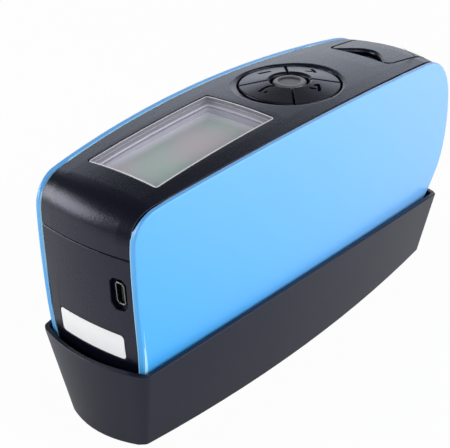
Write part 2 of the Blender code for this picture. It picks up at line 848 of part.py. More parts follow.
notch_rings = [
    notch_ring(0.0, -2.0 * cover_thickness),
    notch_ring(0.0, -notch_lip),
    notch_ring(notch_lip + overrun, overrun),
]
apply_tool(battery_cover, tool("thumb_notch", loft(notch_rings, strips=True)))

cover_pocket = cover_prism("cover_pocket", cover_gap, cover_bottom_z)
apply_tool(cover_pocket, tool("pocket_floor", housing_mesh(cover_thickness + fit_gap, stagger)))
mouth_half = cell_radius + bay_mouth_margin
bay_mouth = tool("bay_mouth", rounded_box(bay_mouth_x, reach, -mouth_half, mouth_half,
                                          cell_axis_z - mouth_half, reach, bay_mouth_corner, "X"))
for shell in (upper_shell, lower_shell):
    apply_tool(shell, cover_pocket)
    apply_tool(shell, bay_mouth)
scoop = bmesh.new()
bmesh.ops.create_uvsphere(scoop, u_segments=24, v_segments=12, radius=1.0)
scoop_size = Vector((notch_depth - scoop_end_margin, notch_width / 2.0 - scoop_side_margin,
                     cover_thickness + fit_gap + scoop_depth + scoop_rise))
bmesh.ops.scale(scoop, vec=scoop_size, verts=scoop.verts)
bmesh.ops.translate(scoop, vec=cover_origin + Vector((scoop_shift, 0.0, scoop_rise)), verts=scoop.verts)
scoop_front = tool("scoop_front", box(cover_x - reach, cover_x - cover_gap, -reach, reach, 0.0, reach))
thumb_scoop = tool("thumb_scoop", scoop)
apply_tool(thumb_scoop, scoop_front)
apply_tool(upper_shell, thumb_scoop)

cell_x0 = cell_end_x - cell_length
bay_x0 = cell_x0 - spring_length - 2.0 * fit_gap
tray_half = cell_radius + fit_gap
tray_floor = cell_axis_z - tray_half
shelf_top = tray_floor - shelf_overlap
bay = box(bay_x0 - bay_wall, bay_mouth_x, -tray_half - bay_wall, tray_half + bay_wall,
          shelf_top - bay_wall, cell_axis_z + bay_side_height)
battery_tray = make("battery_tray", bay, black_plastic)
battery_shelf = tool("battery_shelf", box(bay_x0 - bay_wall, bay_mouth_x, -reach, reach,
                                          shelf_top - bay_wall, shelf_top))
shelf_limit = tool("shelf_limit", housing_mesh(shell_wall + fit_gap, shell_wall + fit_gap))
apply_tool(battery_shelf, shelf_limit, "INTERSECT")
apply_tool(battery_tray, battery_shelf, "UNION")
hollow_x1 = bay_mouth_x + bay_hollow_overrun
tray_hollow = rod((bay_x0, 0.0, cell_axis_z), (hollow_x1, 0.0, cell_axis_z), tray_half, segments=28)
apply_tool(battery_tray, tool("tray_hollow", tray_hollow))
apply_tool(battery_tray, tool("tray_mouth", box(bay_x0, hollow_x1, -tray_half, tray_half,
                                                cell_axis_z, reach)))

cell_profile = [
    (0.0, 0.0),
    (cell_radius - cell_edge, 0.0),
    (cell_radius, cell_edge),
    (cell_radius, cell_length - cell_tip - cell_edge),
    (cell_radius - cell_edge, cell_length - cell_tip),
    (cell_tip_radius, cell_length - cell_tip),
    (cell_tip_radius, cell_length),
    (0.0, cell_length),
]
cell = turned(cell_profile, 28)
lay_down = Matrix.Translation((cell_x0, 0.0, cell_axis_z)) @ Matrix.Rotation(math.pi / 2.0, 4, "Y")
bmesh.ops.transform(cell, matrix=lay_down, verts=cell.verts)
make("battery_cell", cell, cell_wrap)

spring_x1 = cell_x0 - fit_gap
spring_x0 = bay_x0 + fit_gap
coil_steps = 8 * spring_turns
coil = bpy.data.curves.new("battery_spring", "CURVE")
coil.dimensions = "3D"
coil.bevel_depth = spring_wire_radius
coil.bevel_resolution = 1
coil.use_fill_caps = True
spline = coil.splines.new("POLY")
spline.points.add(coil_steps)
for i in range(coil_steps + 1):
    t = i / coil_steps
    a = math.tau * spring_turns * t
    r = spring_radius * (1.0 - spring_taper * t)
    x = spring_x0 + spring_wire_radius + (spring_x1 - spring_x0 - 2.0 * spring_wire_radius) * t
    spline.points[i].co = (x, r * math.cos(a), cell_axis_z + r * math.sin(a), 1.0)
battery_spring = bpy.data.objects.new("battery_spring", coil)
battery_spring.data.materials.append(steel)
bpy.context.scene.collection.objects.link(battery_spring)
battery_spring.parent = whole

cover_inner_x = far_x - cover_thickness
contact_x0 = cell_end_x + fit_gap
contact_x1 = cover_inner_x - fit_gap
contact_z = cell_axis_z - contact_half_width
contact = box(contact_x0, contact_x1, -contact_half_width, contact_half_width,
              contact_z, contact_z + contact_thickness)
cover_contact = make("cover_contact", contact, steel, cover_origin)
contact_plate = tool("contact_plate", box(contact_x0, contact_x0 + contact_thickness,
                                          -contact_half_width, contact_half_width,
                                          contact_z, cell_axis_z + contact_half_width))
contact_back = tool("contact_back", box(contact_x1 - contact_thickness, contact_x1,
                                        -contact_half_width, contact_half_width,
                                        cell_axis_z - contact_drop, contact_z + contact_thickness))
apply_tool(cover_contact, contact_plate, "UNION")
apply_tool(cover_contact, contact_back, "UNION")

# USB socket in a chamfered recess at the near end
end_x = near_foot_x - near_side_bow - end_crown
outside_x = end_x - overrun


def usb_box(x0, x1, half_w, half_h, corner):
    """A block lying in line with the socket."""
    return rounded_box(x0, x1, usb_y - half_w, usb_y + half_w, usb_z - half_h, usb_z + half_h,
                       corner, "X", 1)


usb_x0 = near_foot_x - near_side_bow + usb_sink
usb_x1 = usb_x0 + usb_length
recess_x1 = near_top_x + usb_recess_depth - end_crown
recess = usb_box(outside_x, recess_x1, usb_recess_width / 2.0, usb_recess_height / 2.0, usb_recess_corner)
apply_tool(lower_shell, tool("usb_recess", recess))
usb_hole = usb_box(outside_x, near_foot_x + usb_hole_depth, usb_width / 2.0 + fit_gap,
                   usb_height / 2.0 + fit_gap, usb_corner)
apply_tool(lower_shell, tool("usb_hole", usb_hole))
usb_socket = make("usb_socket", usb_box(usb_x0, usb_x1, usb_width / 2.0, usb_height / 2.0, usb_corner),
                  steel)
usb_bore = usb_box(outside_x, usb_x1 - usb_back, usb_width / 2.0 - usb_wall,
                   usb_height / 2.0 - usb_wall, usb_corner - usb_wall / 2.0)
apply_tool(usb_socket, tool("usb_bore", usb_bore))
insert_half = usb_height / 2.0 - usb_wall - fit_gap
make("usb_insert", box(usb_x0 + usb_tongue_sink, usb_x1 - usb_back - fit_gap,
                       usb_y - usb_tongue / 2.0, usb_y + usb_tongue / 2.0,
                       usb_z - insert_half, usb_z + insert_half), black_plastic)
usb_board_x0 = near_foot_x + shell_wall + usb_board_gap
usb_board_y0 = usb_y + usb_width / 2.0 + fit_gap
usb_board_y1 = usb_board_y0 + usb_board_thickness
board_half = usb_board_height / 2.0
make("usb_board", box(usb_board_x0, usb_board_x0 + usb_board_length, usb_board_y0, usb_board_y1,
                      usb_z - board_half, usb_z + board_half), circuit_board)
lug_y = (usb_board_y0 + usb_board_y1) / 2.0
lug_z0 = board_half + fit_gap
for k, way in enumerate((-1.0, 1.0)):
    ends = sorted((usb_z + way * lug_z0, usb_z + way * (lug_z0 + lug_height)))
    lug = box(near_foot_x - near_side_bow + shell_wall / 2.0, usb_board_x0 + lug_length,
              lug_y - lug_width / 2.0, lug_y + lug_width / 2.0, *ends)
    apply_tool(lower_shell, tool(f"usb_lug_{k}", lug), "UNION")


# Label plate: a thin plate with round corners in a shallow recess
def label_prism(name, margin):
    half = label_width / 2.0 + margin
    return tool(name, rounded_box(outside_x, near_foot_x + foot_radius, label_y - half, label_y + half,
                                  label_z0 - margin, label_z0 + label_height + margin, label_corner, "X"))


label_floor = label_prism("label_floor", fit_gap)
apply_tool(label_floor, tool("label_depth", housing_mesh(label_recess, 0.0)))
apply_tool(lower_shell, label_floor)
label_back = label_recess - label_gap
serial_label = make("serial_label", housing_mesh(label_back - label_thickness, 0.0), label_film)
apply_tool(serial_label, label_prism("label_edge", 0.0), "INTERSECT")
apply_tool(serial_label, tool("label_core", housing_mesh(label_back, -overrun)))

# Optics: a block with two tubes that meet at the aperture, each 60 degrees from the upright
block_z0 = meter_bottom + shell_wall + fit_gap
block_z1 = block_z0 + block_height
focus = Vector((0.0, 0.0, meter_bottom))
block_side = [
    (-block_half_length, block_z0),
    (block_half_length, block_z0),
    (block_half_length, block_z1),
    (block_half_length - block_taper, block_z1),
    (0.0, block_z0 + block_height * block_valley),
    (block_taper - block_half_length, block_z1),
    (-block_half_length, block_z1),
]
block = loft([[Vector((x, y, z)) for x, z in block_side] for y in (-block_width / 2.0, block_width / 2.0)])
optics_block = make("optics_block", block, black_plastic)
aperture = rounded_box(-aperture_length / 2.0, aperture_length / 2.0, -aperture_width / 2.0,
                       aperture_width / 2.0, 0.0, block_z0 + aperture_depth, aperture_corner, "Z", 6)
aperture_cut = tool("aperture", aperture)
apply_tool(lower_shell, aperture_cut)
apply_tool(optics_block, aperture_cut)


def along_beam(side, distance):
    """A point on the light path of one side, measured from the aperture."""
    return focus + Vector((side * math.sin(light_angle), 0.0, math.cos(light_angle))) * distance


def beam_rod(side, distance, length, radius):
    """A round piece that lies along the light path."""
    return rod(along_beam(side, distance), along_beam(side, distance + length), radius)


lens_start = optic_lens_distance - optic_lens_thickness / 2.0
for side, label in ((-1.0, "source"), (1.0, "receiver")):
    tube = beam_rod(side, tube_start, tube_end - tube_start, tube_radius)
    apply_tool(optics_block, tool(label + "_tube", tube))
    make(label + "_lens", beam_rod(side, lens_start, optic_lens_thickness, optic_radius), optical_glass)
make("source_lamp", beam_rod(-1.0, lamp_distance, lamp_length, optic_radius), optical_glass)
make("receiver_sensor", beam_rod(1.0, lamp_distance, sensor_length, optic_radius), black_plastic)

screw_z0 = meter_bottom + screw_sink - fit_gap
screw_head_top = screw_z0 + screw_head_height
screw_profile = [
    (0.0, screw_socket_depth),
    (screw_socket_radius, screw_socket_depth),
    (screw_socket_radius, 0.0),
    (screw_head_radius, 0.0),
    (screw_head_radius, screw_head_height),
    (screw_radius, screw_head_height),
    (screw_radius, screw_length),
    (0.0, screw_length),
]
screw_spots = [(x, y) for x in (-screw_x, screw_x) for y in (-screw_y, screw_y)]
for i, (x, y) in enumerate(screw_spots):
    hole = tool(f"screw_hole_{i}", rod((x, y, 0.0), (x, y, screw_z0 + screw_length + fit_gap),
                                       screw_radius + fit_gap, segments=16))
    sink = tool(f"screw_sink_{i}", rod((x, y, 0.0), (x, y, screw_head_top + fit_gap),
                                       screw_head_radius + fit_gap, segments=20))
    apply_tool(lower_shell, hole)
    apply_tool(optics_block, hole)
    apply_tool(lower_shell, sink)
    screw = turned(screw_profile, 16)
    bmesh.ops.translate(screw, vec=(x, y, screw_z0), verts=screw.verts)
    make(f"block_screw_{i + 1}", screw, steel, (x, y, screw_z0))


# Holder: a boat shaped tub with ribs that carry the meter and a pedestal for the tile
def rim_height(x):
    s = x / (holder_length / 2.0 - holder_end_bow)
    return (rim_near_z + rim_far_z) / 2.0 + (rim_far_z - rim_near_z) / 2.0 * s + rim_arch * (1.0 - s * s)


def keel_height(x):
    return base_lift + base_rocker * (x / (holder_length / 2.0)) ** 2


def tub_ring(level, wall, z_of):
    """Plan outline of the tub; level runs from 0 at the bottom to 1 at the rim."""
    half_length = holder_length / 2.0 - holder_end_bow - end_draft * (1.0 - level) - wall
    side_steps, end_steps, corner_steps = 14, 10, 4

    def side_y(x):
        return holder_width / 2.0 - side_draft * (1.0 - level) - side_bow * (x / bow_reach) ** 2 - wall

    corner_y = side_y(half_length)
    r = max(holder_corner - wall, holder_inner_corner)
    slope = math.atan(2.0 * side_bow * half_length / bow_reach ** 2)
    quarter = []
    for i in range(side_steps // 2 + 1):
        x = (half_length - r) * i / (side_steps / 2.0)
        quarter.append((x, side_y(x)))
    end_slope = math.atan(2.0 * holder_end_bow / corner_y)
    cx = half_length - r
    cy = side_y(cx) - r
    for i in range(1, corner_steps):
        a = math.pi / 2.0 - slope - (math.pi / 2.0 - slope - end_slope) * i / corner_steps
        quarter.append((cx + r * math.cos(a), cy + r * math.sin(a)))
    for i in range(end_steps // 2 + 1):
        y = (corner_y - r) * (1.0 - i / (end_steps / 2.0))
        quarter.append((half_length + holder_end_bow * (1.0 - (y / corner_y) ** 2), y))
    mirrored = [(x, -y) for x, y in quarter[-2::-1]]
    right_half = quarter + mirrored
    left_half = [(-x, y) for x, y in right_half[-2:0:-1]]
    return [Vector((x, y, z_of(x))) for x, y in right_half + left_half]


def tub_mesh(wall, low_z, high_z):
    """A closed tub shape, drafted from its bottom to its rim."""
    bm = bmesh.new()
    bottom = [bm.verts.new(p) for p in tub_ring(0.0, wall, low_z)]
    top = [bm.verts.new(p) for p in tub_ring(1.0, wall, high_z)]
    bridge(bm, bottom, top)
    for ring in (bottom, top):
        tip = max(range(len(ring)), key=lambda i: ring[i].co.x)
        fill_across(bm, ring, tip, True)
    bmesh.ops.recalc_face_normals(bm, faces=bm.faces)
    return bm


holder_tub = make("holder_tub", tub_mesh(0.0, keel_height, rim_height), black_plastic)
tub_hollow = tool("tub_hollow", tub_mesh(holder_wall, lambda x: keel_height(x) + holder_floor,
                                         lambda x: rim_height(x) + overrun))
rest_z = meter_bottom - fit_gap
for k, x in enumerate((near_foot_x + rib_inset, far_foot_x - rib_inset)):
    rib = box(x - rib_thickness / 2.0, x + rib_thickness / 2.0, -reach, reach, 0.0, rest_z)
    apply_tool(tub_hollow, tool(f"rib_{k}", rib))
pedestal_top = rest_z - tile_frame_height - fit_gap
pedestal_x = tile_length / 2.0 + pedestal_margin
pedestal_y = tile_width / 2.0 + pedestal_margin
pedestal = box(-pedestal_x, pedestal_x, -pedestal_y, pedestal_y, 0.0, pedestal_top)
apply_tool(tub_hollow, tool("pedestal", pedestal))
apply_tool(holder_tub, tub_hollow)

# Calibration tile: polished black glass in a pocket, held by a frame
tile_x = tile_length / 2.0
tile_y = tile_width / 2.0
tile_z0 = rest_z - tile_thickness
pocket_x = tile_x + fit_gap
pocket_y = tile_y + fit_gap
tile_pocket = box(-pocket_x, pocket_x, -pocket_y, pocket_y, tile_z0 - fit_gap, reach)
apply_tool(holder_tub, tool("tile_pocket", tile_pocket))
make("calibration_tile", rounded_box(-tile_x, tile_x, -tile_y, tile_y,
                                     tile_z0, rest_z, tile_corner), tile_glass)
tile_frame = make("tile_frame", rounded_box(-pedestal_x, pedestal_x, -pedestal_y, pedestal_y,
                                            pedestal_top + fit_gap, rest_z, tile_frame_corner),
                  black_plastic)
frame_hole = box(-pocket_x, pocket_x, -pocket_y, pocket_y, 0.0, reach)
apply_tool(tile_frame, tool("tile_frame_hole", frame_hole))

# Feet: four rubber pads seated in the holder's underside
foot_profile = [
    (0.0, 0.0),
    (foot_pad_radius - foot_pad_edge, 0.0),
    (foot_pad_radius, foot_pad_edge),
    (foot_pad_radius, foot_pad_height),
    (0.0, foot_pad_height),
]
foot_spots = {
    "foot_near_right": (-foot_x, -foot_y),
    "foot_near_left": (-foot_x, foot_y),
    "foot_far_right": (foot_x, -foot_y),
    "foot_far_left": (foot_x, foot_y),
}
for foot_name, (x, y) in foot_spots.items():
    seat = rod((x, y, -overrun), (x, y, foot_pad_height + fit_gap), foot_pad_radius + fit_gap, segments=28)
    apply_tool(holder_tub, tool("seat_" + foot_name, seat))
    pad = turned(foot_profile, 28)
    bmesh.ops.translate(pad, vec=(x, y, 0.0), verts=pad.verts)
    make(foot_name, pad, rubber, (x, y, 0.0))
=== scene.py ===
"""Looks of a handheld gloss meter standing in its calibration holder.

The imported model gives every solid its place.  Each section below finishes one piece, or
a group of like pieces: its sizes, colours, mesh and material.  All lengths are in metres.
"""
import json
import math

import bmesh
import bpy
from mathutils import Matrix, Vector


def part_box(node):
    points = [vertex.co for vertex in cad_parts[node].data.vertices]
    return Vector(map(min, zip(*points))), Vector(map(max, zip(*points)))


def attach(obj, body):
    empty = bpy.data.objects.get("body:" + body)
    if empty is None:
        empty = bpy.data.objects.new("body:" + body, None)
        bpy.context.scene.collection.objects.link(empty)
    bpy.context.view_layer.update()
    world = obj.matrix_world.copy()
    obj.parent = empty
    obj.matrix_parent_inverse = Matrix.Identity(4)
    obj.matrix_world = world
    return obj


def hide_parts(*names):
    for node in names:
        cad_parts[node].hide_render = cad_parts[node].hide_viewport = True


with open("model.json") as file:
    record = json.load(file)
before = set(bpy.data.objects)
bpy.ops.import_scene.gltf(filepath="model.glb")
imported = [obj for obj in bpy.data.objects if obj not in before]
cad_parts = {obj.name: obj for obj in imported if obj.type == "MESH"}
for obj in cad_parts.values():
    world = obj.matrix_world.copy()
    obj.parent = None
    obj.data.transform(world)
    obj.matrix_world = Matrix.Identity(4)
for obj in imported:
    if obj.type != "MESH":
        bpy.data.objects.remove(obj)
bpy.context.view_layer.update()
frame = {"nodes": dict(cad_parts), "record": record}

# Camera: stands in front of the near end, a little above the meter, and looks down
# along it at the photo's angle.  Its roll is the tilt that the photo was taken with.
mm = 0.001
camera_place = Vector((-306.32, -279.02, 280.32)) * mm
camera_azimuth = math.radians(-45.91)
camera_elevation = math.radians(30.03)
camera_roll = math.radians(-4.18)
lens_mm = 110.743

camera = bpy.data.cameras.new("camera")
camera.lens = lens_mm
camera.sensor_width = 36.0
camera.clip_start = 10.0 * mm
camera_object = bpy.data.objects.new("camera", camera)
camera_object.matrix_world = (
    Matrix.Translation(camera_place)
    @ Matrix.Rotation(camera_azimuth, 4, "Z")
    @ Matrix.Rotation(math.pi / 2.0 - camera_elevation, 4, "X")
    @ Matrix.Rotation(camera_roll, 4, "Z")
)
bpy.context.scene.collection.objects.link(camera_object)
bpy.context.scene.camera = camera_object
bpy.context.scene.view_settings.view_transform = "Standard"


# Lamps: a long soft box behind the far end gives the top its sheen, a broad one in front
# lights the side panel, and one on the left draws the band of light on the near top
# corner.  A fill lights the near end, and the room stays dim, so the plastics stay dark.
def soft_box(name, place, aim, size, power, color=(1.0, 1.0, 1.0)):
    """A rectangular studio lamp of a size, which faces a point."""
    lamp = bpy.data.lights.new(name, "AREA")
    lamp.shape = "RECTANGLE"
    lamp.size, lamp.size_y = size
    lamp.energy = power
    lamp.color = color
    stand = bpy.data.objects.new(name, lamp)
    away = Vector(place) - Vector(aim)
    turn = away.to_track_quat("Z", "Y").to_matrix().to_4x4()
    stand.matrix_world = Matrix.Translation(place) @ turn
    bpy.context.scene.collection.objects.link(stand)


cool = (0.84, 0.90, 1.0)
warm = (1.0, 0.98, 0.92)
soft_box("far_box", (0.69, 0.69, 0.295), (0.0, 0.0, 0.08), (0.95, 0.49), 1.95, cool)
soft_box("front_box", (0.42, -1.0, 0.46), (0.02, 0.0, 0.04), (1.2, 0.7), 12.8)
soft_box("near_fill", (-0.85, -0.70, 0.55), (-0.02, 0.0, 0.05), (0.8, 0.7), 5.0)
soft_box("left_box", (-0.36, 0.455, 0.234), (-0.07, 0.0, 0.08), (0.40, 0.26), 2.15, warm)

room_color = (0.92, 0.95, 1.0, 1.0)
room_strength = 0.15
world = bpy.data.worlds.new("studio")
world.use_nodes = True
room = world.node_tree.nodes["Background"].inputs
room["Color"].default_value = room_color
room["Strength"].default_value = room_strength
bpy.context.scene.world = world


# Floor: a wide sheet of white matt card under the holder's feet.  The camera sees it
# lifted to white.  Reflections see only its far side lifted, so that the dark plastics
# keep their tone.
class Flow:
    """A value on its way through a finish's nodes, which is used in plain sums."""

    def __init__(self, finish, socket):
        self.finish = finish
        self.socket = socket

    def combine(self, operation, first, second):
        """One Math node on two values or plain numbers."""
        return self.finish.node("ShaderNodeMath", {"operation": operation}, {0: first, 1: second})

    def __add__(self, other):
        return self.combine("ADD", self, other)

    def __sub__(self, other):
        return self.combine("SUBTRACT", self, other)

    def __rsub__(self, other):
        return self.combine("SUBTRACT", other, self)

    def __mul__(self, other):
        return self.combine("MULTIPLY", self, other)

    def __truediv__(self, other):
        return self.combine("DIVIDE", self, other)

    def __pow__(self, other):
        return self.combine("POWER", self, other)

    __radd__ = __add__
    __rmul__ = __mul__


class Finish:
    """A material whose nodes are all added by one method."""

    def __init__(self, name):
        self.material = bpy.data.materials.new(name)
        self.material.use_nodes = True
        self.tree = self.material.node_tree
        self.shader = self.tree.nodes["Principled BSDF"]

    def plug(self, socket, value):
        """Link a value to a socket, or set a plain number or colour there."""
        if isinstance(value, Flow):
            self.tree.links.new(value.socket, socket)
        else:
            socket.default_value = value

    def node(self, kind, settings=None, sockets=None, output=0):
        """Add a node: its settings first, then the values or links of its sockets."""
        made = self.tree.nodes.new(kind)
        for key, value in (settings or {}).items():
            setattr(made, key, value)
        for key, value in (sockets or {}).items():
            self.plug(made.inputs[key], value)
        return Flow(self, made.outputs[output])

    def surface(self, **values):
        """Give the shader its values or links; an underscore stands for a space."""
        for key, value in values.items():
            self.plug(self.shader.inputs[key.replace("_", " ")], value)

    def feed(self, name):
        """What feeds one of the shader's sockets so far."""
        return Flow(self, self.shader.inputs[name].links[0].from_socket)

    def axes(self):
        """The three object coordinates, each as a value."""
        place = self.node("ShaderNodeTexCoord", output="Object")
        split = self.node("ShaderNodeSeparateXYZ", sockets={"Vector": place}).socket.node
        return [Flow(self, out) for out in split.outputs]

    def facing_up(self):
        """How far the flat face faces up or down: 1 where it lies, 0 where it stands."""
        normal = self.node("ShaderNodeNewGeometry", output="True Normal")
        split = self.node("ShaderNodeSeparateXYZ", sockets={"Vector": normal}).socket.node
        up = Flow(self, split.outputs[2])
        return self.node("ShaderNodeMath", {"operation": "ABSOLUTE"}, {0: up})

    def noise(self, size, detail=2.0, roughness=0.5):
        """Even noise from 0 to 1 whose blots are about this size."""
        place = self.node("ShaderNodeTexCoord", output="Object")
        return self.node("ShaderNodeTexNoise", sockets={
            "Vector": place, "Scale": 1.0 / size, "Detail": detail, "Roughness": roughness})

    def mix(self, first, second, factor):
        """One colour passing into another, by the RGBA sockets of a Mix node."""
        first, second = (c if isinstance(c, Flow) else (*c, 1.0) for c in (first, second))
        return self.node("ShaderNodeMix", {"data_type": "RGBA"}, {
            0: factor, 6: first, 7: second}, output=2)

    def bump(self, height, depth, under=None):
        """Relief of a depth, laid over the relief under it."""
        sockets = {"Height": height, "Distance": depth}
        if under:
            sockets["Normal"] = under
        return self.node("ShaderNodeBump", sockets=sockets)

    def step(self, value, low, high):
        """A smooth rise from 0 to 1 as the value goes from low to high."""
        return self.node("ShaderNodeMapRange", {"interpolation_type": "SMOOTHSTEP"}, {
            "Value": value, "From Min": low, "From Max": high})

    def least(self, *values):
        """The smallest of some values."""
        least = values[0]
        for value in values[1:]:
            least = least.combine("MINIMUM", least, value)
        return least

    def inset(self, low, high):
        """How far a place lies inside a box's outline, seen from above."""
        x, y = self.axes()[:2]
        return self.least(x - low.x, high.x - x, y - low.y, high.y - y)


card = Finish("studio_card")
card.surface(Base_Color=(0.88, 0.88, 0.89, 1.0), Roughness=0.9, Specular_IOR_Level=0.1)
glow = card.node("ShaderNodeEmission", sockets={"Color": (1.0, 1.0, 1.0, 1.0), "Strength": 1.0})
path = card.node("ShaderNodeLightPath").socket.node
far_way = Vector((0.72, 0.69))
lit_start = -125.0 * mm
lit_end = 50.0 * mm
card_x, card_y = card.axes()[:2]
lit = card.step(card_x * far_way.x + card_y * far_way.y, lit_start, lit_end)
rays = {"Is Camera Ray": 0.96, "Is Glossy Ray": lit * 0.48 + 0.01, "Is Transmission Ray": 0.85}
seen = sum(Flow(card, path.outputs[ray]) * share for ray, share in rays.items())
lifted = card.node("ShaderNodeMixShader", sockets={
    0: seen, 1: Flow(card, card.shader.outputs[0]), 2: glow})
card.plug(card.tree.nodes["Material Output"].inputs["Surface"], lifted)

floor_half = 4.0
floor = bmesh.new()
bmesh.ops.create_grid(floor, x_segments=1, y_segments=1, size=floor_half)
floor_mesh = bpy.data.meshes.new("floor")
floor.to_mesh(floor_mesh)
floor.free()
floor_mesh.materials.append(card.material)
floor_object = bpy.data.objects.new("floor", floor_mesh)
bpy.context.scene.collection.objects.link(floor_object)

# Holder: a boat shaped tub, moulded in charcoal plastic with drafted walls and an arched
# rim.  Its outside has a fine spark texture, and its edges are broken by the mould.
bodies = frame["record"]["behaviour"]["bodies"]
carrier = {node: body for body, nodes in bodies.items() for node in nodes}
slots = {part["node"]: part["material_slot"] for part in frame["record"]["subparts"]}
merge_reach = 0.001 * mm
flat_turn = math.radians(0.2)
pair_turn = math.radians(30.0)
pair_skew = math.radians(50.0)


def solid(node):
    """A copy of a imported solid, its loose triangles merged into the flats they came from."""
    bm = bmesh.new()
    bm.from_mesh(frame["nodes"][node].data)
    bmesh.ops.remove_doubles(bm, verts=bm.verts, dist=merge_reach)
    bmesh.ops.dissolve_limit(bm, angle_limit=flat_turn, verts=bm.verts, edges=bm.edges)
    return bm


def quads(bm):
    """Pair the triangles of a skin back into quads."""
    bmesh.ops.join_triangles(bm, faces=bm.faces, angle_face_threshold=pair_turn,
                             angle_shape_threshold=pair_skew)


def piece(name, bm, finish, body, slot, replaced=(), sharp=32.0, edge=0.0, rounds=0):
    """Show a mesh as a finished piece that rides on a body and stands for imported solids."""
    mesh = bpy.data.meshes.new(name)
    bm.to_mesh(mesh)
    bm.free()
    mesh.materials.append(finish.material)
    mesh.shade_smooth()
    if not rounds:
        mesh.set_sharp_from_angle(angle=math.radians(sharp))
    obj = bpy.data.objects.new(name, mesh)
    bpy.context.scene.collection.objects.link(obj)
    if edge:
        bevel = obj.modifiers.new("broken_edges", "BEVEL")
        bevel.width = edge
        bevel.segments = 2
        bevel.use_clamp_overlap = False
        bevel.limit_method = "ANGLE"
        bevel.angle_limit = math.radians(sharp)
    if rounds:
        soft = obj.modifiers.new("fair_surface", "SUBSURF")
        soft.levels = soft.render_levels = rounds
    else:
        even = obj.modifiers.new("even_shading", "WEIGHTED_NORMAL")
        even.mode = "FACE_AREA_WITH_ANGLE"
        even.keep_sharp = True
    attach(obj, body)
    if replaced:
        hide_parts(*replaced)


def refine(node, finish, paired=False, **options):
    """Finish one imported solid: the same form with its edges broken and its surface fair."""
    bm = solid(node)
    if paired:
        quads(bm)
    piece(node + "_form", bm, finish, carrier[node], slots[node], (node,), **options)


def moulded(name, color, roughness, grain=0.3 * mm, depth=0.012 * mm, specular=0.5,
            tint=(1.0, 1.0, 1.0)):
    """Moulded plastic with the even spark texture of its mould."""
    plastic = Finish(name)
    texture = plastic.noise(grain, 3.0, 0.6)
    cloud = plastic.noise(18.0 * mm)
    mottle = 0.15
    plastic.surface(
        Base_Color=plastic.mix([c * (1.0 - mottle) for c in color],
                               [c * (1.0 + mottle) for c in color],
                               texture * 0.6 + cloud * 0.4),
        Roughness=roughness - 0.05 + texture * 0.06 + cloud * 0.04,
        Specular_IOR_Level=specular,
        Specular_Tint=(*tint, 1.0),
        Normal=plastic.bump(texture, depth),
    )
    return plastic


smoke = (0.68, 0.72, 1.0)
holder_plastic = moulded("holder_plastic", (0.003, 0.0035, 0.009), 0.40, 0.5 * mm, 0.02 * mm,
                         tint=smoke)
refine("holder_tub", holder_plastic, paired=True, edge=0.25 * mm, sharp=30.0)

# Calibration tile: polished black glass in the holder's floor, the standard that the
# meter is checked against, with a moulded frame that clips over its edge.
tile_glass = Finish("tile_glass")
tile_glass.surface(
    Base_Color=(0.008, 0.008, 0.01, 1.0),
    Roughness=tile_glass.noise(30.0 * mm) * 0.04 + 0.01,
    Coat_Weight=1.0,
)
refine("calibration_tile", tile_glass, edge=0.3 * mm)
refine("tile_frame", holder_plastic, edge=0.15 * mm)

# Feet: four soft rubber pads, pressed into round seats under the holder.  They keep it
# from sliding on the bench.
foot_rubber = moulded("foot_rubber", (0.018, 0.018, 0.018), 0.85, 0.5 * mm, 0.02 * mm, 0.3)
for foot in ("foot_near_right", "foot_near_left", "foot_far_right", "foot_far_left"):
    refine(foot, foot_rubber, edge=0.15 * mm)

# Shells: the two black halves of the housing, moulded with a fine spark texture.  They
# meet at a narrow seam, whose edges are broken just enough to catch the light.
shell_plastic = moulded("shell_plastic", (0.0025, 0.003, 0.009), 0.28, 0.75 * mm, 0.055 * mm,
                        tint=smoke)
refine("upper_shell", shell_plastic, paired=True, edge=0.22 * mm, sharp=19.0)

seam_round = 0.4 * mm
seam_turn = math.radians(60.0)
seam_reach = 0.01 * mm
lower_shell = solid("lower_shell")
shell_low, shell_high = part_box("lower_shell")
shell_middle = (shell_low + shell_high) / 2.0
rim = [edge for edge in lower_shell.edges
       if min(vert.co.z for vert in edge.verts) > shell_high.z - seam_reach
       and edge.calc_face_angle() > seam_turn
       and any(abs(face.normal.z) < 0.7 and face.normal.dot(edge.verts[0].co - shell_middle) > 0.0
               for face in edge.link_faces)]
bmesh.ops.bevel(lower_shell, geom=rim, offset=seam_round, segments=2, profile=0.5,
                affect="EDGES", material=-1)
piece("lower_shell_form", lower_shell, shell_plastic, carrier["lower_shell"], slots["lower_shell"],
      ("lower_shell",), edge=0.15 * mm)

# Side panels: bowed covers moulded in sky blue, smoother than the shells, that clip over
# the housing's sides.  Their blue is painted darker towards the near end and the bottom,
# as painted shade, and paler towards the far end and the top, as a painted sheen.  Their
# border is turned in, and a painted highlight runs along its thin outer edge.
shaded_blue = (0.03, 0.39, 0.90)
sheen_blue = (0.27, 0.52, 0.93)
# Painted highlight: a pale blue line along the panel's outer rim, where its rounded edge catches
# the light.
highlight_blue = (0.42, 0.74, 0.96)
panel_plastic = Finish("panel_plastic")
panel_low, panel_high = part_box("right_panel")
panel_x, _, panel_z = panel_plastic.axes()
panel_grain = panel_plastic.noise(0.25 * mm)
fold_turn = math.radians(14.0)
fold_sharpness = 0.8
rim_turn = math.radians(50.0)
edge_highlight_share = panel_plastic.node("ShaderNodeAttribute", {"attribute_name": "rim"}, output="Fac")
on_edge_highlight = panel_plastic.step(edge_highlight_share, 0.7, 0.9)
